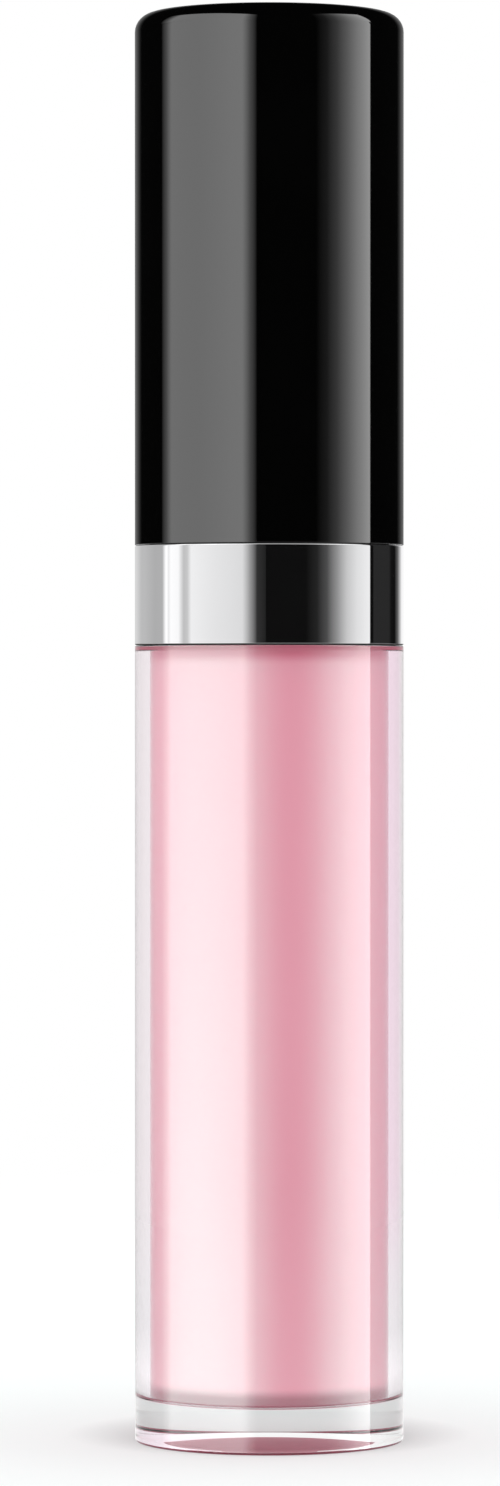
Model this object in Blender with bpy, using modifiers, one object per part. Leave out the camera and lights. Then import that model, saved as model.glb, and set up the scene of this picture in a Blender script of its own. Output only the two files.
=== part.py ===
"""Lip gloss tube: clear bottle with a thick foot, screw cap with a bright collar, and a flocked wand."""

import math

import bmesh
import bpy
from mathutils import Matrix, Vector

MM = 0.001

# Bottle, in millimetres above the foot
TUBE_RADIUS = 9.5
BASE_THICKNESS = 3.1
FOOT_ROUNDING = 0.15
HOLLOW_RADIUS = 6.6
HOLLOW_DEPTH = 0.78
HOLLOW_STEPS = 4
SHOULDER_HEIGHT = 56.2
CAVITY_RADIUS = 8.45
CEILING_HEIGHT = 55.7
NECK_RADIUS = 6.3
NECK_BORE = 5.35
NECK_TOP = 65.4

# Screw thread shared by the neck and the inner cap
THREAD_LEAD = 2.8
THREAD_DEPTH = 0.7
THREAD_ROOT_HALF = 0.65
THREAD_CREST_HALF = 0.4
NECK_THREAD_BOTTOM = 59.0
NECK_THREAD_TURNS = 1.5
CAP_THREAD_FIRST_TURN = -0.15
CAP_THREAD_TURNS = 0.9

# Cap
CAP_TOP = 100.8
CAP_BOTTOM = 63.3
CAP_WALL = 1.15
CAP_CORNER = 1.3
COLLAR_TOP = 63.15
COLLAR_BOTTOM = 56.3
LINER_RADIUS = 8.0
LINER_BORE = 7.25
LINER_BOTTOM = 56.45
LINER_FOOT_RADIUS = 8.25
LINER_FOOT_TOP = 58.2
LINER_CEILING = 67.75
LINER_TOP = 69.2
SOCKET_TOP = 84.0
SOCKET_RADIUS = 3.6
LINER_RIBS = 12

# Wiper, gasket and wand
WIPER_RADIUS = 5.15
WIPER_BOTTOM = 57.0
WIPER_ORIFICE = 2.2
GASKET_RADIUS = 5.4
ROD_RADIUS = 1.8
ROD_BOTTOM = 20.3
ROD_TOP = 82.2
TIP_BOTTOM = 6.0
TIP_LENGTH = 14.0
TIP_RADIUS = 2.0
SLANT_ANGLE = math.radians(11.5)

FIT_GAP = 0.25
FILL_GAP = 0.07
FILL_LEVEL = 56.8


def clear_scene():
    """Remove every object and collection that is already there."""
    for item in list(bpy.data.objects):
        bpy.data.objects.remove(item, do_unlink=True)
    for group in list(bpy.data.collections):
        bpy.data.collections.remove(group)


def new_collection(name):
    """Make a collection under the scene's own."""
    group = bpy.data.collections.new(name)
    bpy.context.scene.collection.children.link(group)
    return group


def new_material(name, colour, roughness, metallic=0.0, transmission=0.0):
    """Make a Principled material from a colour and three values."""
    material = bpy.data.materials.new(name)
    material.use_nodes = True
    shader = material.node_tree.nodes["Principled BSDF"]
    shader.inputs["Base Color"].default_value = (*colour, 1.0)
    shader.inputs["Roughness"].default_value = roughness
    shader.inputs["Metallic"].default_value = metallic
    shader.inputs["Transmission Weight"].default_value = transmission
    return material


def rounded_points(corners):
    """Turn (radius, height, rounding) corners into profile points with short arcs."""
    points = []
    count = len(corners)
    for index, (radius, height, rounding) in enumerate(corners):
        here = Vector((radius, height))
        if rounding == 0.0:
            points.append(here)
            continue
        back = (Vector(corners[index - 1][:2]) - here).normalized()
        ahead = (Vector(corners[(index + 1) % count][:2]) - here).normalized()
        half = back.angle(ahead) / 2.0
        centre = here + (back + ahead).normalized() * rounding / math.sin(half)
        first = (here + back * rounding / math.tan(half) - centre).normalized()
        last = (here + ahead * rounding / math.tan(half) - centre).normalized()
        steps = 1 + (rounding >= 0.4) + 2 * (rounding >= 1.0)
        for step in range(steps + 1):
            points.append(centre + first.slerp(last, step / steps) * rounding)
    return points


def turned(name, corners, sides, group, closed=True):
    """Turn a profile about Z; it runs down its outer side, then up its inner side if it is closed."""
    build = bmesh.new()
    ring = [build.verts.new((point.x * MM, 0.0, point.y * MM)) for point in rounded_points(corners)]
    for start, end in zip(ring, ring[1:]):
        build.edges.new((start, end))
    if closed:
        build.edges.new((ring[-1], ring[0]))
    mesh = bpy.data.meshes.new(name)
    build.to_mesh(mesh)
    build.free()
    part = bpy.data.objects.new(name, mesh)
    group.objects.link(part)
    turn = part.modifiers.new("Turn", 'SCREW')
    turn.steps = sides
    turn.render_steps = sides
    turn.use_merge_vertices = True
    turn.merge_threshold = 0.00001
    turn.use_smooth_shade = True
    return part


def as_helper(part):
    """Mark an object as a tool for a Boolean."""
    part.hide_render = True
    part.display_type = 'WIRE'
    return part


def join(part, tool, operation, label):
    """Add an exact Boolean to a part."""
    step = part.modifiers.new(label, 'BOOLEAN')
    step.operation = operation
    step.solver = 'EXACT'
    step.object = tool


def thread_ridge(name, wall, depth, sunk, first_turn, turns, start_height, group):
    """Loft a right-handed thread ridge that sinks into the wall at both ends."""
    steps = int(turns * 32)
    fade = 5
    build = bmesh.new()
    rings = []
    for step in range(steps + 1):
        turn = first_turn + turns * step / steps
        angle = 2.0 * math.pi * turn
        middle = start_height + THREAD_LEAD * turn
        share = min(1.0, step / fade, (steps - step) / fade)
        crest = wall - math.copysign(0.12, depth) + (depth + math.copysign(0.12, depth)) * share
        section = (
            (wall + sunk, middle - THREAD_ROOT_HALF),
            (crest, middle - THREAD_CREST_HALF),
            (crest, middle + THREAD_CREST_HALF),
            (wall + sunk, middle + THREAD_ROOT_HALF),
        )
        rings.append([
            build.verts.new((radius * math.cos(angle) * MM, radius * math.sin(angle) * MM, height * MM))
            for radius, height in section
        ])
    for lower, upper in zip(rings, rings[1:]):
        for side in range(4):
            other = (side + 1) % 4
            build.faces.new((lower[side], lower[other], upper[other], upper[side]))
    build.faces.new(rings[0])
    build.faces.new(rings[-1])
    bmesh.ops.recalc_face_normals(build, faces=build.faces)
    mesh = bpy.data.meshes.new(name)
    build.to_mesh(mesh)
    build.free()
    ridge = bpy.data.objects.new(name, mesh)
    group.objects.link(ridge)
    return as_helper(ridge)


def box_tool(name, size, location, turn_y, group):
    """Make a box cutter, leaning about Y."""
    build = bmesh.new()
    bmesh.ops.create_cube(build, size=1.0)
    bmesh.ops.scale(build, vec=Vector(size) * MM, verts=build.verts)
    mesh = bpy.data.meshes.new(name)
    build.to_mesh(mesh)
    build.free()
    tool = bpy.data.objects.new(name, mesh)
    tool.location = Vector(location) * MM
    tool.rotation_euler = (0.0, turn_y, 0.0)
    group.objects.link(tool)
    return as_helper(tool)


def hollow_corners():
    """Shallow round hollow under the foot, from the flat ring it stands on in to the middle."""
    corners = []
    for step in range(HOLLOW_STEPS + 1):
        share = 1.0 - step / HOLLOW_STEPS
        corners.append((HOLLOW_RADIUS * share, HOLLOW_DEPTH * (1.0 - share * share), 0.0))
    return corners


def make_bottle(parts, helpers):
    """Clear bottle: thick foot hollowed underneath, straight wall, flat shoulder and threaded neck."""
    bottle = turned("bottle", (
        (0.0, BASE_THICKNESS, 0.0),
        (CAVITY_RADIUS, BASE_THICKNESS, 0.3),
        (CAVITY_RADIUS, CEILING_HEIGHT, 0.3),
        (NECK_BORE, CEILING_HEIGHT, 0.3),
        (NECK_BORE, NECK_TOP, 0.0),
        (NECK_RADIUS, NECK_TOP, 0.3),
        (NECK_RADIUS, SHOULDER_HEIGHT, 0.25),
        (TUBE_RADIUS, SHOULDER_HEIGHT, 0.1),
        (TUBE_RADIUS, 0.0, FOOT_ROUNDING),
        *hollow_corners(),
    ), 56, parts, closed=False)
    ridge = thread_ridge("neck_thread", NECK_RADIUS, THREAD_DEPTH, -0.4, 0.0, NECK_THREAD_TURNS,
                         NECK_THREAD_BOTTOM, helpers)
    join(bottle, ridge, 'UNION', "Thread")
    bottle.data.materials.append(new_material("clear_wall", (0.95, 0.96, 0.96), 0.03, transmission=1.0))
    return bottle


def make_gloss(parts):
    """Gloss: fills the bottle up into the neck, round a straight well that the wand stands in."""
    side = CAVITY_RADIUS - FILL_GAP
    floor = BASE_THICKNESS + FILL_GAP
    ceiling = CEILING_HEIGHT - 0.1
    neck_side = NECK_BORE - 0.1
    well = TIP_RADIUS + 0.5
    gloss = turned("gloss_fill", (
        (0.0, TIP_BOTTOM - 0.5, 0.0),
        (well, TIP_BOTTOM - 0.5, 0.5),
        (well, FILL_LEVEL, 0.0),
        (neck_side, FILL_LEVEL, 0.2),
        (neck_side, ceiling, 0.0),
        (side, ceiling, 0.35),
        (side, floor, 1.2),
        (0.0, floor, 0.0),
    ), 56, parts, closed=False)
    gloss.data.materials.append(new_material("pink_gloss", (0.735, 0.270, 0.350), 0.3))
    return gloss


def make_wiper(parts):
    """Wiper: flange on the rim, plug in the neck and a tapered lip round the rod."""
    rim = NECK_TOP + FIT_GAP
    wiper = turned("wiper", (
        (6.0, rim + 0.7, 0.2),
        (6.0, rim, 0.0),
        (WIPER_RADIUS, rim, 0.0),
        (WIPER_RADIUS, 60.6, 0.5),
        (WIPER_ORIFICE + 0.5, WIPER_BOTTOM, 0.0),
        (WIPER_ORIFICE, WIPER_BOTTOM, 0.0),
        (WIPER_ORIFICE + 0.05, WIPER_BOTTOM + 0.6, 0.0),
        (WIPER_RADIUS - 0.75, 60.8, 0.5),
        (WIPER_RADIUS - 0.75, rim + 0.7, 0.3),
    ), 40, parts)
    wiper.data.materials.append(new_material("soft_natural_plastic", (0.80, 0.80, 0.78), 0.4))
    return wiper


def make_outer_cap(parts):
    """Outer cap: a plain closed sleeve with a rounded crown."""
    inside = TUBE_RADIUS - CAP_WALL
    ceiling = CAP_TOP - 1.6
    cap = turned("outer_cap", (
        (0.0, CAP_TOP, 0.0),
        (TUBE_RADIUS, CAP_TOP, CAP_CORNER),
        (TUBE_RADIUS, CAP_BOTTOM, 0.1),
        (inside, CAP_BOTTOM, 0.2),
        (inside, ceiling, 0.8),
        (0.0, ceiling, 0.0),
    ), 64, parts, closed=False)
    cap.data.materials.append(new_material("black_gloss_plastic", (0.004, 0.004, 0.004), 0.06))
    return cap


def make_collar(parts):
    """Collar ring: bright band round the foot of the cap."""
    inside = TUBE_RADIUS - CAP_WALL
    collar = turned("collar_ring", (
        (TUBE_RADIUS, COLLAR_TOP, 0.2),
        (TUBE_RADIUS, COLLAR_BOTTOM, 0.12),
        (inside, COLLAR_BOTTOM, 0.0),
        (inside, COLLAR_TOP, 0.0),
    ), 64, parts)
    collar.data.materials.append(new_material("bright_chrome", (0.80, 0.80, 0.81), 0.04, metallic=1.0))
    return collar


def make_inner_cap(parts, helpers):
    """Inner cap: threaded sleeve with a ceiling, grip ribs and a blind socket for the rod."""
    liner = turned("inner_cap", (
        (0.0, SOCKET_TOP, 0.0),
        (SOCKET_RADIUS, SOCKET_TOP, 0.3),
        (SOCKET_RADIUS, LINER_TOP, 0.4),
        (LINER_RADIUS, LINER_TOP, 0.3),
        (LINER_RADIUS, LINER_FOOT_TOP, 0.0),
        (LINER_FOOT_RADIUS, LINER_FOOT_TOP, 0.0),
        (LINER_FOOT_RADIUS, LINER_BOTTOM, 0.0),
        (LINER_BORE, LINER_BOTTOM, 0.0),
        (LINER_BORE, LINER_CEILING, 0.4),
        (ROD_RADIUS + FIT_GAP, LINER_CEILING, 0.0),
        (ROD_RADIUS + FIT_GAP, ROD_TOP + 0.3, 0.0),
        (0.0, ROD_TOP + 0.3, 0.0),
    ), 48, parts, closed=False)
    ridge = thread_ridge("cap_thread", LINER_BORE, -THREAD_DEPTH, 0.4, CAP_THREAD_FIRST_TURN,
                         CAP_THREAD_TURNS, NECK_THREAD_BOTTOM + THREAD_LEAD / 2.0, helpers)
    join(liner, ridge, 'UNION', "Thread")
    join(liner, make_ribs(helpers), 'UNION', "Grip ribs")
    liner.data.materials.append(new_material("black_liner_plastic", (0.012, 0.012, 0.012), 0.35))
    return liner


def make_ribs(helpers):
    """Upright grip ribs round the top of the inner cap."""
    build = bmesh.new()
    for index in range(LINER_RIBS):
        angle = 2.0 * math.pi * (index + 0.5) / LINER_RIBS
        made = bmesh.ops.create_cube(build, size=1.0)
        bmesh.ops.scale(build, vec=Vector((0.55, 0.6, 3.6)) * MM, verts=made["verts"])
        bmesh.ops.translate(build, vec=Vector((LINER_RADIUS - 0.075, 0.0, 66.6)) * MM, verts=made["verts"])
        bmesh.ops.rotate(build, verts=made["verts"], cent=(0.0, 0.0, 0.0),
                         matrix=Matrix.Rotation(angle, 3, 'Z'))
    mesh = bpy.data.meshes.new("grip_ribs")
    build.to_mesh(mesh)
    build.free()
    ribs = bpy.data.objects.new("grip_ribs", mesh)
    helpers.objects.link(ribs)
    return as_helper(ribs)


def make_gasket(parts):
    """Gasket: flat ring between the wiper's flange and the inner cap's ceiling."""
    bottom = NECK_TOP + FIT_GAP + 0.7 + 0.2
    gasket = turned("gasket", (
        (GASKET_RADIUS, bottom + 0.95, 0.2),
        (GASKET_RADIUS, bottom, 0.2),
        (ROD_RADIUS + 0.3, bottom, 0.0),
        (ROD_RADIUS + 0.3, bottom + 0.95, 0.0),
    ), 40, parts)
    gasket.data.materials.append(new_material("white_seal", (0.75, 0.75, 0.73), 0.6))
    return gasket


def make_rod(parts):
    """Rod: round stem, hollow at the foot to take the plug of the tip."""
    rod = turned("rod", (
        (0.0, ROD_TOP, 0.0),
        (ROD_RADIUS, ROD_TOP, 0.3),
        (ROD_RADIUS, ROD_BOTTOM, 0.25),
        (1.2, ROD_BOTTOM, 0.0),
        (1.2, ROD_BOTTOM + 6.4, 0.0),
        (0.0, ROD_BOTTOM + 6.4, 0.0),
    ), 32, parts, closed=False)
    rod.data.materials.append(new_material("black_rod_plastic", (0.010, 0.010, 0.010), 0.25))
    return rod


def make_core(parts, helpers):
    """Applicator core: tapered tip with a slanted face and a plug for the rod."""
    foot = TIP_BOTTOM + 0.7
    head = TIP_BOTTOM + TIP_LENGTH - 0.2
    core = turned("applicator_core", (
        (0.0, ROD_BOTTOM + 6.0, 0.0),
        (0.95, ROD_BOTTOM + 6.0, 0.2),
        (0.95, head, 0.0),
        (1.45, head, 0.15),
        (1.45, TIP_BOTTOM + 7.0, 2.0),
        (1.05, foot, 0.6),
        (0.0, foot, 0.0),
    ), 32, parts, closed=False)
    join(core, slant_tool("core_slant", 0.5, helpers), 'DIFFERENCE', "Slant")
    core.data.materials.append(new_material("soft_tip", (0.60, 0.45, 0.45), 0.5))
    return core


def make_flock(parts, helpers):
    """Applicator flock: velvety layer round the core, open where the core enters the rod."""
    head = TIP_BOTTOM + TIP_LENGTH
    foot = TIP_BOTTOM + 0.7 - 0.15
    flock = turned("applicator_flock", (
        (0.0, head, 0.0),
        (TIP_RADIUS, head, 0.4),
        (TIP_RADIUS, TIP_BOTTOM + 7.0, 2.0),
        (1.6, TIP_BOTTOM, 1.1),
        (0.0, TIP_BOTTOM, 0.0),
    ), 32, parts, closed=False)
    hollow = turned("flock_hollow", (
        (0.0, head + 2.0, 0.0),
        (1.6, head + 2.0, 0.0),
        (1.6, TIP_BOTTOM + 7.0, 2.0),
        (1.2, foot, 0.6),
        (0.0, foot, 0.0),
    ), 32, helpers, closed=False)
    join(hollow, slant_tool("hollow_slant", 0.35, helpers), 'DIFFERENCE', "Slant")
    join(flock, slant_tool("flock_slant", 0.0, helpers), 'DIFFERENCE', "Slant")
    join(flock, as_helper(hollow), 'DIFFERENCE', "Hollow")
    flock.data.materials.append(new_material("pale_flock", (0.82, 0.55, 0.58), 0.95))
    return flock


def slant_tool(name, inset, helpers):
    """Leaning box that cuts the slanted face on the tip's +X side, set in by a distance."""
    foot_x = 0.35 - inset
    half_width = 5.0
    half_height = 12.0
    across = half_width * math.cos(SLANT_ANGLE)
    down = half_width * math.sin(SLANT_ANGLE)
    along = 5.0
    centre = (
        foot_x + along * math.sin(SLANT_ANGLE) + across,
        0.0,
        TIP_BOTTOM + along * math.cos(SLANT_ANGLE) - down,
    )
    return box_tool(name, (2.0 * half_width, 8.0, 2.0 * half_height), centre, SLANT_ANGLE, helpers)


def make_cap_axis(parts, pieces):
    """Empty on the turning axis that carries the pieces of the cap and the wand."""
    axis = bpy.data.objects.new("cap_axis", None)
    parts.objects.link(axis)
    for piece in pieces:
        piece.parent = axis


def main():
    """Model the whole tube, closed, standing on its foot."""
    clear_scene()
    parts = new_collection("lip_gloss_tube")
    helpers = new_collection("cutters")
    make_bottle(parts, helpers)
    make_gloss(parts)
    make_wiper(parts)
    make_cap_axis(parts, (
        make_outer_cap(parts),
        make_collar(parts),
        make_inner_cap(parts, helpers),
        make_gasket(parts),
        make_rod(parts),
        make_core(parts, helpers),
        make_flock(parts, helpers),
    ))


if __name__ == "__main__":
    main()
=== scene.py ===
"""Lip gloss tube: smooth pieces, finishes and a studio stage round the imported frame."""

import math

import bmesh
import bpy
from bpy.props import FloatProperty, FloatVectorProperty, PointerProperty
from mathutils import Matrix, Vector


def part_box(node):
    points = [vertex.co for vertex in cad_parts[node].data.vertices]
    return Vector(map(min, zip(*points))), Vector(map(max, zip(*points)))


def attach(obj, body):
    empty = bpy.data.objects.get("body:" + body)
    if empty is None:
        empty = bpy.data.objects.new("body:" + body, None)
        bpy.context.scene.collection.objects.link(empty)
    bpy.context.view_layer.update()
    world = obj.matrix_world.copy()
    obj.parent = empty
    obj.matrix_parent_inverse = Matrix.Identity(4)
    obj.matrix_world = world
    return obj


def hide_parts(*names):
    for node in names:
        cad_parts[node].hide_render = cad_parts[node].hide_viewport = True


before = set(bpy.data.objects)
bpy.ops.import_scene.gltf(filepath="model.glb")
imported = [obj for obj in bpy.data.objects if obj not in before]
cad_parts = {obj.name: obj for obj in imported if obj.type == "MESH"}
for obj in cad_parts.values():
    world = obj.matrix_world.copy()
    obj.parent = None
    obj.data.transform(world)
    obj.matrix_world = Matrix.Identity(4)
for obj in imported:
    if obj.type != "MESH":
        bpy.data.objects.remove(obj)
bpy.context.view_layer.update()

bl_info = {
    "name": "Lip gloss tube",
    "version": (1, 0, 0),
    "blender": (4, 5, 0),
    "location": "View3D > Sidebar > Lip gloss",
    "description": "Builds a lip gloss tube with its cap, wand and studio stage",
    "category": "Add Mesh",
}

ROUND_SIDES = 160
SMALL_SIDES = 96
ARC_STEPS = 8
HOLLOW_STEPS = 12
SHARP_ANGLE = math.radians(40.0)
FULL_TURN = 2.0 * math.pi
ON_AXIS = 1e-7

# Rings this far beside each rounding keep the flat next to it flat.
SUPPORT = 0.00003
FOOT_ROUNDING = 0.00015
CAP_WALL = 0.00115
THREAD_START = 0.0590
THREAD_DEPTH = 0.0007
THREAD_SINK = 0.0004
TIP_SLOPE = math.tan(math.radians(11.5))
TIP_FACE = 0.00035
FLOCK_LAYER = 0.0005

WHITE = (1.0, 1.0, 1.0, 1.0)
FLOOR_RADIUS = 0.25
FLOOR_GAP = 0.00003
BOX_DISTANCE = 0.6
BOX_BOTTOM = -0.12
BOX_TOP = 0.98
CAP_BOX_SEAM = 0.27
LENS_LENGTH = 154.35
CAMERA_PLACE = (-0.00136, -0.4507, 0.05407)
CAMERA_TILT = math.radians(0.604)


class TubeSizes(bpy.types.PropertyGroup):
    """Sizes of the tube, in metres above its foot or from its axis."""

    tube_radius: FloatProperty(
        name="Tube radius", description="Outside of the bottle, collar and cap",
        default=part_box("bottle")[1][0], unit='LENGTH', precision=5)
    foot_thickness: FloatProperty(
        name="Foot thickness", description="Clear plastic under the gloss",
        default=0.0031, unit='LENGTH', precision=5)
    hollow_radius: FloatProperty(
        name="Hollow radius", description="Rim of the shallow hollow under the foot",
        default=0.0066, unit='LENGTH', precision=5)
    hollow_depth: FloatProperty(
        name="Hollow depth", description="Depth of the hollow under the foot",
        default=0.00078, unit='LENGTH', precision=5)
    cavity_radius: FloatProperty(
        name="Cavity radius", description="Inside of the bottle",
        default=0.00845, unit='LENGTH', precision=5)
    ceiling_height: FloatProperty(
        name="Ceiling height", description="Underside of the shoulder",
        default=0.0561, unit='LENGTH', precision=5)
    shoulder_height: FloatProperty(
        name="Shoulder height", description="Flat shoulder under the collar",
        default=0.0562, unit='LENGTH', precision=5)
    neck_radius: FloatProperty(
        name="Neck radius", description="Neck at the root of its thread",
        default=0.0063, unit='LENGTH', precision=5)
    neck_bore: FloatProperty(
        name="Neck bore", description="Inside of the neck",
        default=0.00535, unit='LENGTH', precision=5)
    neck_top: FloatProperty(
        name="Neck top", description="Rim of the bottle",
        default=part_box("bottle")[1][2], unit='LENGTH', precision=5)
    thread_lead: FloatProperty(
        name="Thread lead", description="Rise of the cap in one turn",
        default=0.0028, unit='LENGTH', precision=5)
    collar_bottom: FloatProperty(
        name="Collar bottom", description="Lower edge of the bright collar",
        default=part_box("collar_ring")[0][2] - 0.00007, unit='LENGTH', precision=5)
    collar_top: FloatProperty(
        name="Collar top", description="Upper edge of the bright collar",
        default=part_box("outer_cap")[0][2] - 0.00003, unit='LENGTH', precision=5)
    cap_bottom: FloatProperty(
        name="Cap bottom", description="Lower edge of the black cap",
        default=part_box("outer_cap")[0][2], unit='LENGTH', precision=5)
    cap_top: FloatProperty(
        name="Cap top", description="Crown of the black cap",
        default=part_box("outer_cap")[1][2], unit='LENGTH', precision=5)
    cap_corner: FloatProperty(
        name="Cap corner", description="Rounding of the crown",
        default=0.0013, unit='LENGTH', precision=5)
    rod_radius: FloatProperty(
        name="Rod radius", description="Stem of the wand",
        default=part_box("rod")[1][0], unit='LENGTH', precision=5)
    tip_bottom: FloatProperty(
        name="Tip bottom", description="Lowest point of the flocked tip",
        default=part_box("applicator_flock")[0][2], unit='LENGTH', precision=5)
    tip_radius: FloatProperty(
        name="Tip radius", description="Widest part of the flocked tip",
        default=0.0020, unit='LENGTH', precision=5)


class TubeColours(bpy.types.PropertyGroup):
    """Colours of the finishes."""

    gloss: FloatVectorProperty(
        name="Gloss", description="Milky pink gloss", subtype='COLOR', size=3,
        default=(0.880, 0.318, 0.420), min=0.0, max=1.0)
    black: FloatVectorProperty(
        name="Cap black", description="Polished black plastic", subtype='COLOR', size=3,
        default=(0.0005, 0.0005, 0.0005), min=0.0, max=1.0)
    chrome: FloatVectorProperty(
        name="Collar", description="Mirror-bright plating", subtype='COLOR', size=3,
        default=(0.86, 0.86, 0.87), min=0.0, max=1.0)
    clear: FloatVectorProperty(
        name="Clear foot", description="Tint of the solid foot", subtype='COLOR', size=3,
        default=(0.985, 0.995, 0.993), min=0.0, max=1.0)
    # Painted shade: this colour tints the foot's rounded rim dark red to draw a dark contour along the foot's
    # bottom edge.
    rim: FloatVectorProperty(
        name="Foot rim", description="Rounded rim tinted dark red as painted shade", subtype='COLOR', size=3,
        default=(0.09, 0.006, 0.014), min=0.0, max=1.0)
    # Painted light: the wall's pink tint stands for the gloss's pink light seen in the clear wall.
    wall: FloatVectorProperty(
        name="Clear wall", description="Wall tinted pink as painted light from the gloss", subtype='COLOR', size=3,
        default=(0.985, 0.915, 0.945), min=0.0, max=1.0)
    satin: FloatVectorProperty(
        name="Satin black", description="Black plastic with a fine grain", subtype='COLOR', size=3,
        default=(0.012, 0.012, 0.012), min=0.0, max=1.0)
    natural: FloatVectorProperty(
        name="Natural plastic", description="Wiper and seal", subtype='COLOR', size=3,
        default=(0.80, 0.79, 0.76), min=0.0, max=1.0)
    flock: FloatVectorProperty(
        name="Flock", description="Velvety fibre, stained by the gloss", subtype='COLOR', size=3,
        default=(0.80, 0.42, 0.47), min=0.0, max=1.0)
    floor: FloatVectorProperty(
        name="Floor", description="Pale studio floor", subtype='COLOR', size=3,
        default=(0.755, 0.80, 0.795), min=0.0, max=1.0)
    card: FloatVectorProperty(
        name="Side card", description="Pale card that shows through the clear wall", subtype='COLOR', size=3,
        default=(1.0, 0.87, 0.95), min=0.0, max=1.0)
    gloss_box: FloatVectorProperty(
        name="Boxes on gloss", description="Softboxes that whiten the gloss", subtype='COLOR', size=3,
        default=(0.28, 1.0, 0.78), min=0.0, max=1.0)
    gloss_fill: FloatVectorProperty(
        name="Fill on gloss", description="Weak fill at the back left", subtype='COLOR', size=3,
        default=(1.0, 0.35, 0.50), min=0.0, max=1.0)


def sizes():
    """The sizes that the scene holds."""
    return bpy.context.scene.tube_sizes


def colours():
    """The colours that the scene holds."""
    return bpy.context.scene.tube_colours


def rounded_profile(corners):
    """Turn (radius, height, rounding) corners into profile points, with support points beside each arc."""
    points = []
    count = len(corners)
    for index, (radius, height, rounding) in enumerate(corners):
        here = Vector((radius, height))
        if rounding == 0.0:
            points.append(here)
            continue
        back = Vector(corners[index - 1][:2]) - here
        ahead = Vector(corners[(index + 1) % count][:2]) - here
        half = back.angle(ahead) / 2.0
        setback = rounding / math.tan(half)
        back_side = back.normalized()
        ahead_side = ahead.normalized()
        centre = here + (back_side + ahead_side).normalized() * rounding / math.sin(half)
        first = (here + back_side * setback - centre).normalized()
        last = (here + ahead_side * setback - centre).normalized()
        if back.length > 2.0 * (setback + SUPPORT):
            points.append(here + back_side * (setback + SUPPORT))
        for step in range(ARC_STEPS + 1):
            points.append(centre + first.slerp(last, step / ARC_STEPS) * rounding)
        if ahead.length > 2.0 * (setback + SUPPORT):
            points.append(here + ahead_side * (setback + SUPPORT))
    return points


def finish_piece(name, build, body, nodes, material):
    """Make an object of a bmesh, shade it, ride it on its body and let it stand for its nodes."""
    mesh = bpy.data.meshes.new(name)
    build.to_mesh(mesh)
    build.free()
    mesh.shade_smooth()
    mesh.set_sharp_from_angle(angle=SHARP_ANGLE)
    mesh.materials.append(material)
    piece = bpy.data.objects.new(name, mesh)
    bpy.context.scene.collection.objects.link(piece)
    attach(piece, body)
    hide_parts(*nodes)
    return piece


def refinish_faces(piece, material, chosen):
    """Give the faces that a test chooses a finish of their own."""
    piece.data.materials.append(material)
    index = len(piece.data.materials) - 1
    for face in piece.data.polygons:
        if chosen(face):
            face.material_index = index


def lathe(corners, sides, closed=False):
    """Turn a profile that runs down its outer side; a closed one comes back up its inner side."""
    build = bmesh.new()
    rows = []
    for point in rounded_profile(corners):
        if point.x < ON_AXIS:
            rows.append([build.verts.new((0.0, 0.0, point.y))] * sides)
            continue
        angles = (FULL_TURN * side / sides for side in range(sides))
        rows.append([
            build.verts.new((point.x * math.cos(angle), point.x * math.sin(angle), point.y))
            for angle in angles
        ])
    pairs = list(zip(rows, rows[1:]))
    if closed:
        pairs.append((rows[-1], rows[0]))
    for upper, lower in pairs:
        for side in range(sides):
            other = (side + 1) % sides
            loop = dict.fromkeys((upper[side], lower[side], lower[other], upper[other]))
            if len(loop) > 2:
                build.faces.new(list(loop))
    return build


def thread_ridge(wall, depth, sunk, first_turn, turns, start_height):
    """Loft a right-handed thread ridge that fades into the wall at both ends."""
    steps = int(turns * 96)
    fade = 16
    root_half = 0.00065
    crest_half = 0.00040
    soft_half = 0.00050
    under = math.copysign(0.00012, depth)
    build = bmesh.new()
    rings = []
    for step in range(steps + 1):
        turn = first_turn + turns * step / steps
        angle = FULL_TURN * turn
        middle = start_height + sizes().thread_lead * turn
        share = min(1.0, step / fade, (steps - step) / fade)
        share = share * share * (3.0 - 2.0 * share)
        crest = wall - under + (depth + under) * share
        edge = wall - under + (0.85 * depth + under) * share
        section = (
            (wall + sunk, middle - root_half),
            (edge, middle - soft_half),
            (crest, middle - crest_half),
            (crest, middle + crest_half),
            (edge, middle + soft_half),
            (wall + sunk, middle + root_half),
        )
        rings.append([
            build.verts.new((radius * math.cos(angle), radius * math.sin(angle), height))
            for radius, height in section
        ])
    count = len(rings[0])
    for lower, upper in zip(rings, rings[1:]):
        for side in range(count):
            other = (side + 1) % count
            build.faces.new((lower[side], lower[other], upper[other], upper[side]))
    build.faces.new(rings[0])
    build.faces.new(rings[-1])
    bmesh.ops.recalc_face_normals(build, faces=build.faces)
    return build


def united(first, second):
    """Join two closed bmeshes into one with an exact Boolean."""
    items = []
    for label, build in (("union_base", first), ("union_tool", second)):
        mesh = bpy.data.meshes.new(label)
        build.to_mesh(mesh)
        build.free()
        item = bpy.data.objects.new(label, mesh)
        bpy.context.scene.collection.objects.link(item)
        items.append(item)
    base, tool = items
    step = base.modifiers.new("Join", 'BOOLEAN')
    step.operation = 'UNION'
    step.solver = 'EXACT'
    step.object = tool
    view = bpy.context.evaluated_depsgraph_get()
    joined = bpy.data.meshes.new_from_object(base.evaluated_get(view))
    result = bmesh.new()
    result.from_mesh(joined)
    for item in items:
        mesh = item.data
        bpy.data.objects.remove(item, do_unlink=True)
        bpy.data.meshes.remove(mesh)
    bpy.data.meshes.remove(joined)
    return result


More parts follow.
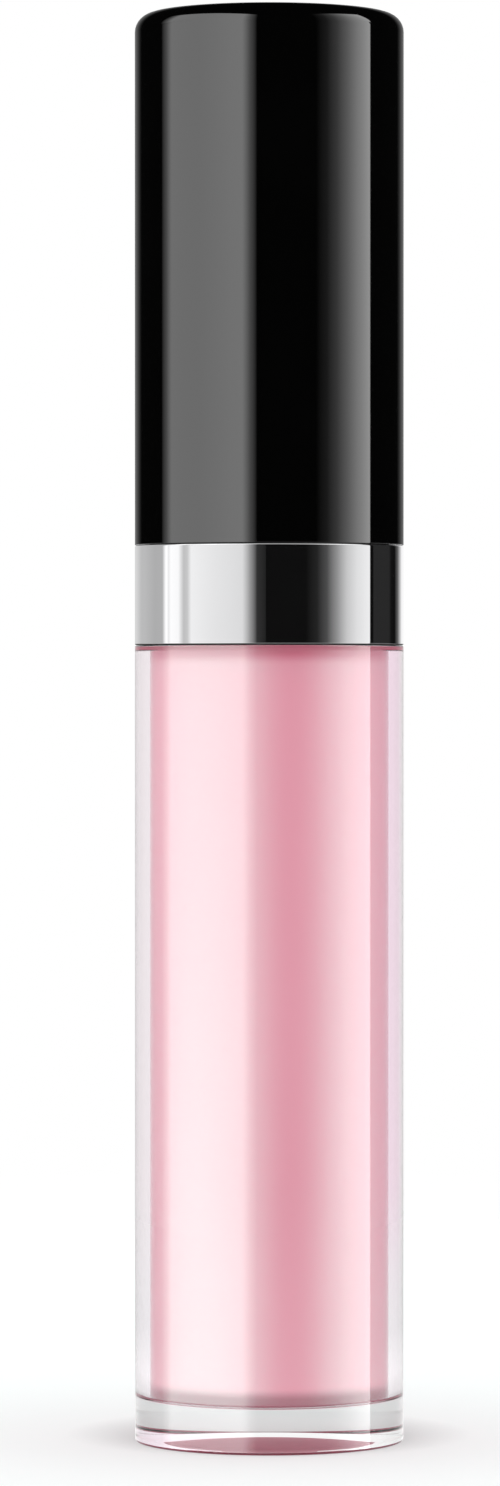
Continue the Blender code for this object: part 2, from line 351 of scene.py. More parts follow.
def slanted_tip(corners, foot_x):
    """Turned tip whose +X side is drawn in to a slanted face with soft edges."""
    build = lathe(corners, SMALL_SIDES)
    soft = 0.00025
    for vert in build.verts:
        radius = math.hypot(vert.co.x, vert.co.y)
        if radius < ON_AXIS or vert.co.x <= 0.0:
            continue
        face_x = max(0.00005, foot_x + (vert.co.z - sizes().tip_bottom) * TIP_SLOPE)
        reach = face_x * radius / vert.co.x
        blend = max(0.0, min(1.0, 0.5 + 0.5 * (reach - radius) / soft))
        new_radius = reach * (1.0 - blend) + radius * blend - soft * blend * (1.0 - blend)
        factor = max(0.05, new_radius / radius)
        vert.co.x *= factor
        vert.co.y *= factor
    return build


def math_node(tree, operation, first, second, clamp=False):
    """Add a math node on two values, each a socket or a number."""
    node = tree.nodes.new("ShaderNodeMath")
    node.operation = operation
    node.use_clamp = clamp
    for socket, value in zip(node.inputs, (first, second)):
        if isinstance(value, float):
            socket.default_value = value
        else:
            tree.links.new(value, socket)
    return node.outputs[0]


def range_node(tree, value, start, end, low, high, curve='SMOOTHSTEP'):
    """Add a node that runs from a low to a high level while a value runs from start to end."""
    node = tree.nodes.new("ShaderNodeMapRange")
    node.interpolation_type = curve
    node.inputs["From Min"].default_value = start
    node.inputs["From Max"].default_value = end
    node.inputs["To Min"].default_value = low
    node.inputs["To Max"].default_value = high
    tree.links.new(value, node.inputs["Value"])
    return node.outputs["Result"]


def mix_node(tree, factor, first, second):
    """Add a node that mixes two levels, each a socket or a number."""
    node = tree.nodes.new("ShaderNodeMix")
    tree.links.new(factor, node.inputs["Factor"])
    for label, value in (("A", first), ("B", second)):
        if isinstance(value, float):
            node.inputs[label].default_value = value
        else:
            tree.links.new(value, node.inputs[label])
    return node.outputs["Result"]


class Finish:
    """A procedural material built on one Principled shader."""

    def __init__(self, name):
        self.material = bpy.data.materials.new(name)
        self.material.use_nodes = True
        self.tree = self.material.node_tree
        self.shader = self.tree.nodes["Principled BSDF"]
        self.output = self.tree.nodes["Material Output"]
        self.place = self.tree.nodes.new("ShaderNodeTexCoord").outputs["Object"]

    def set(self, **values):
        """Set shader sockets by name, with underscores for spaces."""
        for key, value in values.items():
            self.shader.inputs[key.replace("_", " ")].default_value = value

    def noise(self, scale, detail=4.0, stretch=(1.0, 1.0, 1.0)):
        """Noise in object space, with a stretch along each axis."""
        mapping = self.tree.nodes.new("ShaderNodeMapping")
        mapping.inputs["Scale"].default_value = stretch
        self.tree.links.new(self.place, mapping.inputs["Vector"])
        noise = self.tree.nodes.new("ShaderNodeTexNoise")
        noise.inputs["Scale"].default_value = scale
        noise.inputs["Detail"].default_value = detail
        self.tree.links.new(mapping.outputs["Vector"], noise.inputs["Vector"])
        return noise.outputs["Fac"]

    def colour_between(self, factor, low, high):
        """Drive the base colour between two colours."""
        ramp = self.tree.nodes.new("ShaderNodeValToRGB")
        ramp.color_ramp.elements[0].position = 0.3
        ramp.color_ramp.elements[0].color = (*low, 1.0)
        ramp.color_ramp.elements[1].position = 0.7
        ramp.color_ramp.elements[1].color = (*high, 1.0)
        self.tree.links.new(factor, ramp.inputs["Fac"])
        self.tree.links.new(ramp.outputs["Color"], self.shader.inputs["Base Color"])

    def paint_shade_by_height(self, spans):
        """Paint shade into the base colour and dull the gleam by height, over (full height, end height, shade)
        spans.
        """
        split = self.tree.nodes.new("ShaderNodeSeparateXYZ")
        self.tree.links.new(self.place, split.inputs[0])
        gleam = self.tree.nodes.new("ShaderNodeValue")
        gleam.outputs[0].default_value = self.shader.inputs["Specular IOR Level"].default_value
        colour = self.shader.inputs["Base Color"].links[0].from_socket
        level = gleam.outputs[0]
        for full, end, tint in spans:
            share = range_node(self.tree, split.outputs["Z"], full, end, 0.0, 1.0)
            mixed = self.tree.nodes.new("ShaderNodeVectorMath")
            mixed.operation = 'MULTIPLY_ADD'
            self.tree.links.new(share, mixed.inputs[0])
            mixed.inputs[1].default_value = [part - 1.0 for part in tint]
            mixed.inputs[2].default_value = (1.0, 1.0, 1.0)
            shaded = self.tree.nodes.new("ShaderNodeVectorMath")
            shaded.operation = 'MULTIPLY'
            self.tree.links.new(colour, shaded.inputs[0])
            self.tree.links.new(mixed.outputs["Vector"], shaded.inputs[1])
            colour = shaded.outputs["Vector"]
            level = math_node(self.tree, 'MULTIPLY', level, mixed.outputs["Vector"])
        self.tree.links.new(colour, self.shader.inputs["Base Color"])
        self.tree.links.new(level, self.shader.inputs["Specular IOR Level"])

    def roughness_between(self, factor, low, high):
        """Drive the roughness between two values."""
        span = range_node(self.tree, factor, 0.3, 0.7, low, high, 'LINEAR')
        self.tree.links.new(span, self.shader.inputs["Roughness"])

    def bump(self, factor, strength, distance):
        """Raise the surface by a height field."""
        bump = self.tree.nodes.new("ShaderNodeBump")
        bump.inputs["Strength"].default_value = strength
        bump.inputs["Distance"].default_value = distance
        self.tree.links.new(factor, bump.inputs["Height"])
        self.tree.links.new(bump.outputs["Normal"], self.shader.inputs["Normal"])

    def let_lamps_through(self):
        """Let lamp light, soft light and what the gloss mirrors pass straight through clear plastic."""
        path = self.tree.nodes.new("ShaderNodeLightPath").outputs
        shone = math_node(self.tree, 'GREATER_THAN', path["Glossy Depth"], 0.5)
        inside = math_node(self.tree, 'GREATER_THAN', path["Transmission Depth"], 1.5)
        mirrored = math_node(self.tree, 'MULTIPLY', shone, inside)
        soft = math_node(self.tree, 'MAXIMUM', path["Is Shadow Ray"], path["Is Diffuse Ray"])
        soft = math_node(self.tree, 'MAXIMUM', soft, mirrored)
        self.blend_clear(soft)

    def blend_clear(self, factor):
        """Let the finish give way to nothing where a factor says so."""
        open_shader = self.tree.nodes.new("ShaderNodeBsdfTransparent")
        mix = self.tree.nodes.new("ShaderNodeMixShader")
        self.tree.links.new(factor, mix.inputs["Fac"])
        self.tree.links.new(self.shader.outputs["BSDF"], mix.inputs[1])
        self.tree.links.new(open_shader.outputs["BSDF"], mix.inputs[2])
        self.tree.links.new(mix.outputs["Shader"], self.output.inputs["Surface"])


def shade(colour, factor):
    """A colour made lighter or darker."""
    return tuple(min(1.0, channel * factor) for channel in colour)


def clear_finish(name, tint, open_to_lamps):
    """Polished clear plastic with faint flow marks from moulding."""
    finish = Finish(name)
    finish.set(Transmission_Weight=1.0, IOR=1.49, Roughness=0.0)
    flow = finish.noise(60.0, 3.0, (1.0, 1.0, 0.15))
    finish.colour_between(flow, shade(tint, 0.997), tint)
    if open_to_lamps:
        finish.let_lamps_through()
    return finish.material


def gloss_finish(name, spans):
    """Milky pink gloss with slow swirls left by filling, with painted shade over spans of height."""
    finish = Finish(name)
    finish.set(IOR=1.46)
    swirl = finish.noise(55.0, 3.0, (1.0, 1.0, 0.25))
    finish.colour_between(swirl, shade(colours().gloss, 0.98), shade(colours().gloss, 1.015))
    finish.paint_shade_by_height(spans)
    finish.roughness_between(swirl, 0.38, 0.44)
    return finish.material


def black_polish_finish():
    """Black plastic under a hard bright lacquer with a trace of orange peel."""
    finish = Finish("polished_black_lacquer")
    finish.set(IOR=1.85)
    peel = finish.noise(900.0, 2.0)
    haze = finish.noise(140.0, 4.0)
    finish.colour_between(haze, shade(colours().black, 0.8), shade(colours().black, 1.25))
    finish.roughness_between(haze, 0.030, 0.045)
    finish.bump(peel, 0.02, 0.00002)
    return finish.material


def chrome_finish():
    """Bright plating with a trace of haze."""
    finish = Finish("bright_plating")
    finish.set(Metallic=1.0)
    haze = finish.noise(220.0, 4.0)
    finish.colour_between(haze, shade(colours().chrome, 0.985), colours().chrome)
    finish.roughness_between(haze, 0.020, 0.035)
    return finish.material


def satin_black_finish(name, roughness, grain_height=0.12, shine=0.5):
    """Black moulded plastic with a fine grain."""
    finish = Finish(name)
    finish.set(Specular_IOR_Level=shine)
    grain = finish.noise(2600.0, 3.0)
    finish.colour_between(grain, shade(colours().satin, 0.75), shade(colours().satin, 1.25))
    finish.roughness_between(grain, roughness - 0.04, roughness + 0.04)
    finish.bump(grain, grain_height, 0.00002)
    return finish.material


def natural_finish(name, roughness, glow):
    """Soft natural plastic that light soaks into."""
    finish = Finish(name)
    finish.set(Subsurface_Weight=glow, Subsurface_Scale=0.002)
    cloud = finish.noise(500.0, 3.0)
    finish.colour_between(cloud, shade(colours().natural, 0.96), shade(colours().natural, 1.03))
    finish.roughness_between(cloud, roughness - 0.05, roughness + 0.05)
    finish.bump(cloud, 0.05, 0.00002)
    return finish.material


def flock_finish():
    """Velvety flock, wet with gloss."""
    finish = Finish("wet_flock")
    finish.set(Sheen_Weight=0.5, Sheen_Roughness=0.4)
    fibre = finish.noise(5200.0, 2.0)
    finish.colour_between(fibre, shade(colours().flock, 0.75), shade(colours().flock, 1.15))
    finish.roughness_between(fibre, 0.55, 0.85)
    finish.bump(fibre, 0.6, 0.00006)
    return finish.material


def core_finish():
    """Soft moulded tip under the flock."""
    finish = Finish("soft_tip_plastic")
    cloud = finish.noise(700.0, 3.0)
    finish.colour_between(cloud, (0.55, 0.42, 0.42), (0.62, 0.48, 0.48))
    finish.roughness_between(cloud, 0.45, 0.55)
    return finish.material


def link_piece(piece, group_name):
    """List a piece with those that the same softboxes light."""
    group = bpy.data.collections.get(group_name) or bpy.data.collections.new(group_name)
    group.objects.link(piece)


class TUBE_OT_bottle(bpy.types.Operator):
    """Add the clear bottle with its thick foot and threaded neck"""

    bl_idname = "tube.bottle"
    bl_label = "Bottle"

    def execute(self, context):
        s = sizes()
        wall = lathe((
            (0.0, s.foot_thickness, 0.0),
            (s.cavity_radius, s.foot_thickness, 0.0003),
            (s.cavity_radius, s.ceiling_height, 0.0003),
            (s.neck_bore, s.ceiling_height, 0.0003),
            (s.neck_bore, s.neck_top, 0.00015),
            (s.neck_radius, s.neck_top, 0.0003),
            (s.neck_radius, s.shoulder_height, 0.00025),
            (s.tube_radius, s.shoulder_height, 0.0001),
            (s.tube_radius, s.foot_thickness, 0.0),
            (s.tube_radius, 0.0, FOOT_ROUNDING),
            (s.hollow_radius + SUPPORT, 0.0, 0.0),
            *self.hollow(s),
        ), ROUND_SIDES)
        ridge = thread_ridge(s.neck_radius, THREAD_DEPTH, -THREAD_SINK, 0.0, 1.5, THREAD_START)
        # The wall's pink tint is painted light from the gloss.
        piece = finish_piece("bottle_clear", united(wall, ridge), "bottle", ("bottle",),
                             clear_finish("clear_plastic_wall", colours().wall, True))
        foot_top = s.foot_thickness + SUPPORT
        foot = clear_finish("clear_plastic_foot", colours().clear, True)
        underside = clear_finish("clear_plastic_underside", colours().clear, False)
        # The rim finish is tinted dark red: painted shade for a contour along the foot's bottom edge.
        rim = clear_finish("clear_plastic_rim_painted_shade", colours().rim, True)
        refinish_faces(piece, foot, lambda face: face.center.z <= foot_top)
        refinish_faces(piece, underside, lambda face: face.center.z <= foot_top and face.normal.z < -0.95)
        refinish_faces(piece, rim, lambda face: face.center.z <= foot_top and -0.95 <= face.normal.z < -0.05)
        link_piece(piece, "clear_pieces")
        return {'FINISHED'}

    def hollow(self, s):
        """Profile of the hollow under the foot, from its rim in to the axis."""
        shares = (1.0 - step / HOLLOW_STEPS for step in range(HOLLOW_STEPS + 1))
        return [(s.hollow_radius * share, s.hollow_depth * (1.0 - share * share), 0.0) for share in shares]


class TUBE_OT_gloss(bpy.types.Operator):
    """Add the gloss that fills the bottle round the wand"""

    bl_idname = "tube.gloss"
    bl_label = "Gloss"

    def execute(self, context):
        s = sizes()
        gap = 0.000015
        wet = 0.00002
        clearance = 0.0005
        side = s.cavity_radius - gap
        floor = s.foot_thickness - wet
        neck_side = s.neck_bore + wet
        top = s.ceiling_height + wet
        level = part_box("gloss_fill")[1][2]
        well = s.tip_radius + clearance
        well_bottom = s.tip_bottom - clearance
        build = lathe((
            (0.0, well_bottom, 0.0),
            (well, well_bottom, clearance),
            (well, level, 0.0),
            (neck_side, level, 0.0),
            (neck_side, top, 0.0),
            (side, top, 0.0),
            (side, floor, 0.0004),
            (0.0, floor, 0.0),
        ), ROUND_SIDES)
        # Painted shade: the gloss is darkened and its gleam dulled over its lowest 1.5 mm, for the shade where
        # it meets the foot, and over its top 1.3 mm, for the collar's shadow.
        ends = (
            (floor + 0.0015, floor + 0.0006, (0.50, 0.44, 0.46)),
            (top - 0.0013, top - 0.0004, (0.86, 0.51, 0.62)),
        )
        piece = finish_piece("gloss", build, "bottle", ("gloss_fill",),
                             gloss_finish("pink_gloss", ends))
        # The underside gets a copy of the gloss finish without the painted shade at the ends.
        refinish_faces(piece, gloss_finish("pink_gloss_underside", ()), lambda face: face.normal.z < -0.9)
        link_piece(piece, "gloss_pieces")
        return {'FINISHED'}


class TUBE_OT_wiper(bpy.types.Operator):
    """Add the wiper in the neck and the gasket above it"""

    bl_idname = "tube.wiper"
    bl_label = "Wiper and gasket"

    def execute(self, context):
        s = sizes()
        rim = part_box("wiper")[1][2]
        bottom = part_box("wiper")[0][2]
        flange = 0.0060
        flange_bottom = rim - 0.0007
        plug = 0.00515
        funnel = plug - 0.00075
        plug_bottom = 0.0606
        funnel_bottom = 0.0608
        orifice = 0.0022
        build = lathe((
            (flange, rim, 0.00025),
            (flange, flange_bottom, 0.0001),
            (plug, flange_bottom, 0.0001),
            (plug, plug_bottom, 0.0006),
            (orifice + 0.0005, bottom, 0.00015),
            (orifice, bottom, 0.00012),
            (orifice + 0.00005, bottom + 0.0006, 0.0003),
            (funnel, funnel_bottom, 0.0006),
            (funnel, rim, 0.00035),
        ), SMALL_SIDES, closed=True)
        wiper = finish_piece("wiper_plug", build, "bottle", ("wiper",),
                             natural_finish("soft_natural_plastic", 0.38, 0.4))
        link_piece(wiper, "black_pieces")
        low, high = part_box("gasket")
        hole = s.rod_radius + 0.0003
        build = lathe((
            (high[0], high[2], 0.0002),
            (high[0], low[2], 0.0002),
            (hole, low[2], 0.0001),
            (hole, high[2], 0.0001),
        ), SMALL_SIDES, closed=True)
        gasket = finish_piece("gasket_ring", build, "seal", ("gasket",),
                              natural_finish("white_seal", 0.6, 0.2))
        link_piece(gasket, "black_pieces")
        return {'FINISHED'}


class TUBE_OT_cap(bpy.types.Operator):
    """Add the black outer cap"""

    bl_idname = "tube.cap"
    bl_label = "Outer cap"

    def execute(self, context):
        s = sizes()
        inside = s.tube_radius - CAP_WALL
        ceiling = s.cap_top - 0.0016
        build = lathe((
            (0.0, s.cap_top, 0.0),
            (s.tube_radius, s.cap_top, s.cap_corner),
            (s.tube_radius, s.cap_bottom, 0.00005),
            (inside, s.cap_bottom, 0.0002),
            (inside, ceiling, 0.0008),
            (0.0, ceiling, 0.0),
        ), ROUND_SIDES)
        piece = finish_piece("cap_shell", build, "cap", ("outer_cap",),
                             black_polish_finish())
        crown = satin_black_finish("satin_black_crown", 0.4, 0.06, 0.03)
        refinish_faces(piece, crown, lambda face: face.normal.z > 0.99)
        link_piece(piece, "black_pieces")
        return {'FINISHED'}


class TUBE_OT_collar(bpy.types.Operator):
    """Add the bright collar"""

    bl_idname = "tube.collar"
    bl_label = "Collar"

    def execute(self, context):
        s = sizes()
        inside = s.tube_radius - CAP_WALL
        build = lathe((
            (s.tube_radius, s.collar_top, 0.00012),
            (s.tube_radius, s.collar_bottom, 0.00012),
            (inside, s.collar_bottom, 0.0001),
            (inside, s.collar_top, 0.0001),
        ), ROUND_SIDES, closed=True)
        piece = finish_piece("collar_band", build, "cap", ("collar_ring",),
                             chrome_finish())
        # Painted shade: the underside is black, a dark sheet that sends no light down, so the gloss under the
        # collar lies in deeper shade.
        underside = satin_black_finish("black_collar_underside_for_shade", 0.5)
        refinish_faces(piece, underside, lambda face: face.normal.z < -0.25)
        link_piece(piece, "bright_pieces")
        return {'FINISHED'}


class TUBE_OT_liner(bpy.types.Operator):
    """Add the threaded inner cap"""

    bl_idname = "tube.liner"
    bl_label = "Inner cap"

    def execute(self, context):
        s = sizes()
        low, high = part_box("inner_cap")
        boss = 0.0036
        outside = 0.0080
        shoulder = 0.0692
        skirt_top = 0.0582
        bore = 0.00725
        bore_top = 0.06775
        socket = s.rod_radius + 0.00025
        socket_top = 0.0825
        build = lathe((
            (0.0, high[2], 0.0),
            (boss, high[2], 0.0003),
            (boss, shoulder, 0.0004),
            (outside, shoulder, 0.0003),
            (outside, skirt_top, 0.0),
            (high[0], skirt_top, 0.00015),
            (high[0], low[2], 0.00015),
            (bore, low[2], 0.00015),
            (bore, bore_top, 0.0004),
            (socket, bore_top, 0.0002),
            (socket, socket_top, 0.0),
            (0.0, socket_top, 0.0),
        ), SMALL_SIDES)
        ridge_start = THREAD_START + s.thread_lead / 2.0
        ridge = thread_ridge(bore, -THREAD_DEPTH, THREAD_SINK, -0.15, 0.9, ridge_start)
        piece = finish_piece("cap_liner", united(build, ridge), "cap", ("inner_cap",),
                             satin_black_finish("satin_black_liner", 0.35))
        link_piece(piece, "black_pieces")
        return {'FINISHED'}


class TUBE_OT_wand(bpy.types.Operator):
    """Add the rod and the flocked tip"""

    bl_idname = "tube.wand"
    bl_label = "Wand"

    def execute(self, context):
        s = sizes()
        low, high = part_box("rod")
        socket = 0.0012
        socket_top = low[2] + 0.0064
        build = lathe((
            (0.0, high[2], 0.0),
            (s.rod_radius, high[2], 0.0003),
            (s.rod_radius, low[2], 0.00025),
            (socket, low[2], 0.0001),
            (socket, socket_top, 0.0),
            (0.0, socket_top, 0.0),
        ), SMALL_SIDES)
        rod = finish_piece("wand_rod", build, "stem", ("rod",),
                           satin_black_finish("smooth_black_rod", 0.22, 0.03))
        link_piece(rod, "black_pieces")
        core_low, core_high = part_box("applicator_core")
        core = finish_piece("tip_core", self.core_mesh(core_low, core_high), "cap", ("applicator_core",),
                            core_finish())
        link_piece(core, "black_pieces")
        flock = finish_piece("tip_flock", self.flock_mesh(s), "cap", ("applicator_flock",),
                             flock_finish())
        link_piece(flock, "black_pieces")
        return {'FINISHED'}

    def core_mesh(self, low, high):
        """Core: plug for the rod above a slanted tip."""
        plug = 0.00095
        body = 0.00145
        end = 0.00105
        head = 0.0198
        middle = 0.0130
        return slanted_tip((
            (0.0, high[2], 0.0),
            (plug, high[2], 0.0002),
            (plug, head, 0.0),
            (body, head, 0.00015),
            (body, middle, 0.0020),
            (end, low[2], 0.0006),
            (0.0, low[2], 0.0),
        ), TIP_FACE - FLOCK_LAYER)

    def flock_mesh(self, s):
        """Flock: short fibres that close over the core."""
        end = 0.0016
        head = 0.0200
        middle = s.tip_bottom + 0.0070
        return slanted_tip((
            (0.0, head, 0.0),
            (s.tip_radius, head, 0.0004),
            (s.tip_radius, middle, 0.0020),
            (end, s.tip_bottom, 0.0011),
            (0.0, s.tip_bottom, 0.0),
        ), TIP_FACE)


def floor_finish():
    """Pale paper with a real soft shadow round the foot, deepened and shaped by painted glow that grows away
    from the foot and reads as white farther out.
    """
    finish = Finish("pale_floor")
    finish.set(Base_Color=(*colours().floor, 1.0), Roughness=0.9, Specular_IOR_Level=0.0, Emission_Color=WHITE)
    tree = finish.tree
    # The painted glow's distance is measured from a point 4 mm behind the tube's axis.
    middle = tree.nodes.new("ShaderNodeVectorMath")
    middle.inputs[1].default_value = (0.0, -0.004, 0.0)
    tree.links.new(finish.place, middle.inputs[0])
    length = tree.nodes.new("ShaderNodeVectorMath")
    length.operation = 'LENGTH'
    tree.links.new(middle.outputs["Vector"], length.inputs[0])
    reach = length.outputs["Value"]
    path = tree.nodes.new("ShaderNodeLightPath").outputs

    def painted_lift(ray, start, end, level):
        """Painted glow for one kind of ray, changing with distance from the foot."""
        share = range_node(tree, reach, start, end, 0.0, level, 'LINEAR')
        return math_node(tree, 'MULTIPLY', share, path[ray])

    # Painted light: little glow near the foot deepens the shadow there; clear-plastic rays see more glow nearby
    # and a little less far out.
    glow = painted_lift("Is Camera Ray", 0.0085, 0.0145, 0.20)
    for more in (
        painted_lift("Is Camera Ray", 0.019, 0.05, 0.08),
        painted_lift("Is Transmission Ray", 0.025, 0.045, 0.34),
        painted_lift("Is Transmission Ray", 0.05, 0.08, -0.11),
    ):
        glow = math_node(tree, 'ADD', glow, more)
    tree.links.new(glow, finish.shader.inputs["Emission Strength"])
    finish.blend_clear(range_node(tree, reach, 0.06, FLOOR_RADIUS, 0.0, 1.0))
    return finish.material


def hang_lamp(lamp, group_name):
    """Hang a lamp that one group of pieces mirrors and that is seen nowhere else."""
    item = bpy.data.objects.new(lamp.name, lamp)
    bpy.context.scene.collection.objects.link(item)
    item.visible_camera = False
    item.visible_diffuse = False
    item.visible_transmission = False
    item.light_linking.receiver_collection = bpy.data.collections[group_name]
    return item


def panel_lamp(name, width, height, brightness):
    """Rectangular lamp of one brightness, whatever its size."""
    lamp = bpy.data.lights.new(name, 'AREA')
    lamp.shape = 'RECTANGLE'
    lamp.size = width
    lamp.size_y = height
    lamp.energy = math.pi * lamp.size * lamp.size_y * brightness
    return lamp


def softbox(name, stops, group_name, tint=WHITE[:3], bottom=BOX_BOTTOM, top=BOX_TOP):
    """Softbox seen only in reflections: (azimuth, brightness) stops across it, azimuth 0 towards the front."""
    first = math.radians(stops[0][0])
    last = math.radians(stops[-1][0])
    middle = (first + last) / 2.0
    half_width = math.tan((last - first) / 2.0)
    peak = max(level for azimuth, level in stops)
    lamp = panel_lamp(name, 2.0 * BOX_DISTANCE * half_width, top - bottom, peak)
    lamp.color = tint
    lamp.use_nodes = True
    tree = lamp.node_tree
    emission = tree.nodes["Emission"]
    place = tree.nodes.new("ShaderNodeNewGeometry")
    split = tree.nodes.new("ShaderNodeSeparateXYZ")
    tree.links.new(place.outputs["Parametric"], split.inputs[0])
    ramp = tree.nodes.new("ShaderNodeValToRGB")
    marks = ramp.color_ramp.elements
    while len(marks) < len(stops):
        marks.new(1.0)
    for mark, (azimuth, level) in zip(marks, stops):
        mark.position = 0.5 + 0.5 * math.tan(math.radians(azimuth) - middle) / half_width
        mark.color = (level / peak, level / peak, level / peak, 1.0)
    tree.links.new(split.outputs["X"], ramp.inputs["Fac"])
    tree.links.new(ramp.outputs["Color"], emission.inputs["Color"])
    path = tree.nodes.new("ShaderNodeLightPath").outputs
    direct = math_node(tree, 'LESS_THAN', path["Diffuse Depth"], 0.5)
    tree.links.new(direct, emission.inputs["Strength"])
    box = hang_lamp(lamp, group_name)
    direction = Vector((math.sin(middle), -math.cos(middle), 0.0))
    box.location = direction * BOX_DISTANCE + Vector((0.0, 0.0, (top + bottom) / 2.0))
    box.rotation_euler = (-direction).to_track_quat('-Z', 'Y').to_euler()


class TUBE_OT_stage(bpy.types.Operator):
    """Add the floor, the studio light and the camera"""

    bl_idname = "tube.stage"
    bl_label = "Stage"

    def execute(self, context):
        self.add_floor(context)
        self.add_world(context)
        self.add_softboxes()
        self.add_overhead_card()
        self.add_camera(context)
        context.scene.view_settings.view_transform = 'Standard'
        return {'FINISHED'}

    def add_floor(self, context):
        """Pale floor under the tube, which mirrors don't see."""
        build = bmesh.new()
        bmesh.ops.create_circle(build, cap_ends=True, segments=96, radius=FLOOR_RADIUS)
        mesh = bpy.data.meshes.new("studio_floor")
        build.to_mesh(mesh)
        build.free()
        mesh.materials.append(floor_finish())
        floor = bpy.data.objects.new("studio_floor", mesh)
        floor.location.z = -FLOOR_GAP
        context.scene.collection.objects.link(floor)
        floor.visible_glossy = False
        floor.visible_shadow = False

    def add_world(self, context):
        """White surround for the eye and the shading, with darker parts for mirrors and clear plastic."""
        world = bpy.data.worlds.new("studio")
        context.scene.world = world
        world.use_nodes = True
        tree = world.node_tree
        back = tree.nodes["Background"]
        path = tree.nodes.new("ShaderNodeLightPath").outputs
        place = tree.nodes.new("ShaderNodeTexCoord")
        split = tree.nodes.new("ShaderNodeSeparateXYZ")
        tree.links.new(place.outputs["Generated"], split.inputs[0])
        across, depth, height = split.outputs
        sharp = math_node(tree, 'LESS_THAN', path["Diffuse Depth"], 0.5)
        through = math_node(tree, 'MULTIPLY', path["Is Transmission Ray"], sharp)
        mirrored = math_node(tree, 'SUBTRACT', path["Is Glossy Ray"], path["Is Transmission Ray"], True)
        mirrored = math_node(tree, 'MULTIPLY', mirrored, sharp)
        seen_through = range_node(tree, depth, -0.9, -0.2, 0.15, 1.0)
        backdrop = range_node(tree, depth, 0.78, 1.02, 0.005, 0.3)
        floor = range_node(tree, height, -0.119, -0.10, 0.5, 0.0)
        floor_shade = range_node(tree, height, -0.22, -0.12, 0.7, 1.0)
        floor = math_node(tree, 'MULTIPLY', floor, floor_shade)
        seen_mirrored = math_node(tree, 'ADD', backdrop, floor)
        level = mix_node(tree, through, 1.0, seen_through)
        level = mix_node(tree, mirrored, level, seen_mirrored)
        tree.links.new(level, back.inputs["Strength"])
        beside = math_node(tree, 'MULTIPLY', through, range_node(tree, across, 0.05, 0.35, 0.0, 1.0))
        card = tree.nodes.new("ShaderNodeMix")
        card.data_type = 'RGBA'
        card.inputs[6].default_value = WHITE
        card.inputs[7].default_value = (*colours().card, 1.0)
        tree.links.new(beside, card.inputs["Factor"])
        tree.links.new(card.outputs[2], back.inputs["Color"])

    def add_softboxes(self):
        """Softboxes left and right, each as bright as the finish that it is seen in needs."""
        self.add_boxes_on_black()
        self.add_boxes_on_clear()
        self.add_boxes_on_gloss()
        self.add_boxes_on_bright()

    def add_boxes_on_black(self):
        """Boxes for the cap, with upper panels that end the highlights squarely on the rounded crown."""
        left = ((-61.5, 1.59), (-33.0, 1.82), (-23.0, 1.86), (-16.5, 0.68), (-10.5, 0.0))
        right = ((40.0, 0.0), (50.0, 0.10), (59.5, 0.39), (69.6, 1.0), (80.4, 1.80), (92.0, 2.48))
        softbox("left_box_on_black", (
            (-105.0, 0.0), (-98.4, 0.55), (-92.0, 1.48), *left), "black_pieces", top=CAP_BOX_SEAM)
        softbox("left_top_box_on_black", (
            (-107.5, 0.0), (-101.0, 0.55), (-94.6, 1.48), *left), "black_pieces", bottom=CAP_BOX_SEAM, top=0.69)
        softbox("right_box_on_black", (
            *right, (95.2, 2.66), (96.0, 0.0)), "black_pieces", top=CAP_BOX_SEAM)
        softbox("right_top_box_on_black", (
            *right, (97.8, 2.66), (98.6, 0.0)), "black_pieces", bottom=CAP_BOX_SEAM, top=0.66)

    def add_boxes_on_clear(self):
        """Boxes and a faint backdrop for the clear bottle."""
        softbox("left_box_on_clear", (
            (-105.0, 0.0), (-98.4, 1.2), (-92.0, 3.4), (-61.5, 4.1), (-33.0, 4.8), (-23.0, 4.9),
            (-16.5, 1.8), (-10.5, 0.0)), "clear_pieces")
        softbox("right_box_on_clear", (
            (40.0, 0.0), (50.0, 0.25), (59.5, 1.0), (69.6, 2.5), (80.4, 4.3), (92.0, 5.6), (95.4, 5.9),
            (96.2, 0.0)), "clear_pieces")
        softbox("left_backdrop_on_clear", (
            (-178.0, 0.4), (-150.0, 0.4), (-125.0, 0.0)), "clear_pieces")
        softbox("right_backdrop_on_clear", (
            (125.0, 0.0), (150.0, 0.4), (178.0, 0.4)), "clear_pieces")

    def add_boxes_on_gloss(self):
        """Broad boxes that whiten the gloss left and right, stronger below, and a weak fill."""
        left = (
            (-118.0, 0.0), (-112.0, 4.0), (-100.0, 6.6), (-85.0, 8.6), (-68.0, 10.0), (-50.0, 9.6),
            (-36.0, 8.8), (-24.0, 8.0), (-14.0, 8.0), (-8.0, 5.4), (0.0, 1.2), (6.0, 0.0))
        right = (
            (36.0, 0.0), (46.0, 3.6), (57.0, 7.0), (68.0, 8.8), (80.0, 8.0), (93.0, 4.6), (105.0, 2.4),
            (118.0, 1.6), (124.0, 0.0))
        for level, bottom, top, share in (("low", -0.5, 0.0, 1.5), ("high", 0.0, BOX_TOP, 0.70)):
            for side, stops in (("left", left), ("right", right)):
                scaled = [(azimuth, share * bright) for azimuth, bright in stops]
                softbox(f"{side}_{level}_box_on_gloss", scaled, "gloss_pieces",
                        colours().gloss_box, bottom, top)
        softbox("left_fill_on_gloss", (
            (-140.0, 0.0), (-125.0, 1.2), (-105.0, 1.2), (-92.0, 0.0)), "gloss_pieces", colours().gloss_fill)

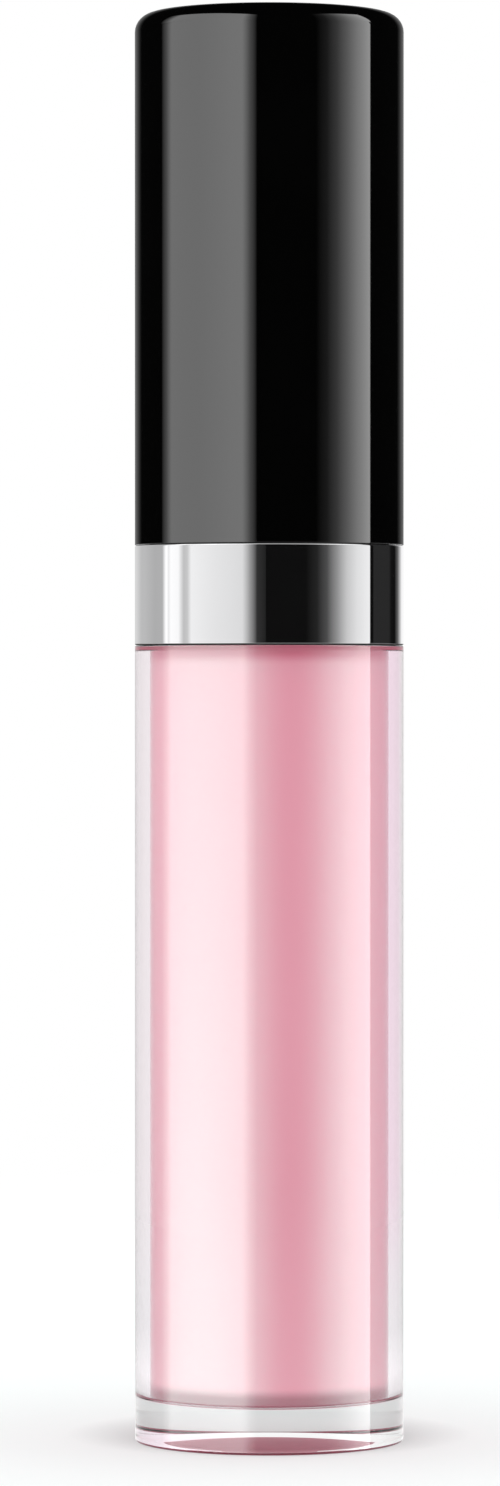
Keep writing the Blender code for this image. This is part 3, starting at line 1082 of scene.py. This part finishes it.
    def add_boxes_on_bright(self):
        """Boxes and backdrops for the collar."""
        softbox("left_box_on_bright", (
            (-104.0, 0.0), (-99.0, 0.70), (-93.0, 1.15), (-84.0, 1.10), (-78.0, 0.60), (-74.0, 0.66),
            (-70.0, 1.0), (-47.0, 0.90), (-23.0, 0.82), (-16.5, 0.36), (-10.5, 0.03), (-3.0, 0.012)),
            "bright_pieces")
        softbox("right_box_on_bright", (
            (31.0, 0.0), (41.0, 0.015), (50.0, 0.08), (59.5, 0.32), (69.6, 0.66), (80.4, 0.86), (95.2, 1.0),
            (96.0, 0.0)), "bright_pieces")
        softbox("left_backdrop_on_bright", (
            (-179.0, 0.35), (-147.0, 0.56), (-134.0, 0.56), (-115.0, 0.48), (-98.5, 0.50), (-96.0, 0.0)),
            "bright_pieces")
        softbox("right_backdrop_on_bright", (
            (100.0, 0.02), (124.0, 0.02), (128.0, 0.003), (136.0, 0.0), (144.0, 0.12), (158.0, 0.78),
            (179.0, 0.62)), "bright_pieces")

    def add_overhead_card(self):
        """White card above the front that draws a bright line along the collar's upper edge."""
        card = hang_lamp(panel_lamp("overhead_card", 3.0, 1.6, 1.0), "bright_pieces")
        card.location = (0.0, -0.3, 1.3)

    def add_camera(self, context):
        """Long lens a little above the middle of the tube."""
        lens = bpy.data.cameras.new("studio_camera")
        lens.lens = LENS_LENGTH
        lens.sensor_width = 36.0
        lens.clip_start = 0.01
        lens.clip_end = 50.0
        camera = bpy.data.objects.new("studio_camera", lens)
        camera.location = CAMERA_PLACE
        camera.rotation_euler = (math.pi / 2.0 - CAMERA_TILT, 0.0, 0.0)
        context.scene.collection.objects.link(camera)
        context.scene.camera = camera


class TUBE_PT_panel(bpy.types.Panel):
    """Lists the pieces of the tube"""

    bl_idname = "TUBE_PT_panel"
    bl_label = "Lip gloss tube"
    bl_space_type = 'VIEW_3D'
    bl_region_type = 'UI'
    bl_category = "Lip gloss"

    def draw(self, context):
        for operator in OPERATORS:
            self.layout.operator(operator.bl_idname)


OPERATORS = (
    TUBE_OT_bottle,
    TUBE_OT_gloss,
    TUBE_OT_wiper,
    TUBE_OT_cap,
    TUBE_OT_collar,
    TUBE_OT_liner,
    TUBE_OT_wand,
    TUBE_OT_stage,
)
CLASSES = (TubeSizes, TubeColours, *OPERATORS, TUBE_PT_panel)


def register():
    """Register the classes and hang the sizes and colours on the scene."""
    for item in CLASSES:
        bpy.utils.register_class(item)
    bpy.types.Scene.tube_sizes = PointerProperty(type=TubeSizes)
    bpy.types.Scene.tube_colours = PointerProperty(type=TubeColours)


def unregister():
    """Undo what register did."""
    del bpy.types.Scene.tube_colours
    del bpy.types.Scene.tube_sizes
    for item in reversed(CLASSES):
        bpy.utils.unregister_class(item)


def main():
    """Build every piece and the stage."""
    register()
    bpy.ops.tube.bottle()
    bpy.ops.tube.gloss()
    bpy.ops.tube.wiper()
    bpy.ops.tube.cap()
    bpy.ops.tube.collar()
    bpy.ops.tube.liner()
    bpy.ops.tube.wand()
    bpy.ops.tube.stage()


if __name__ == "__main__":
    main()
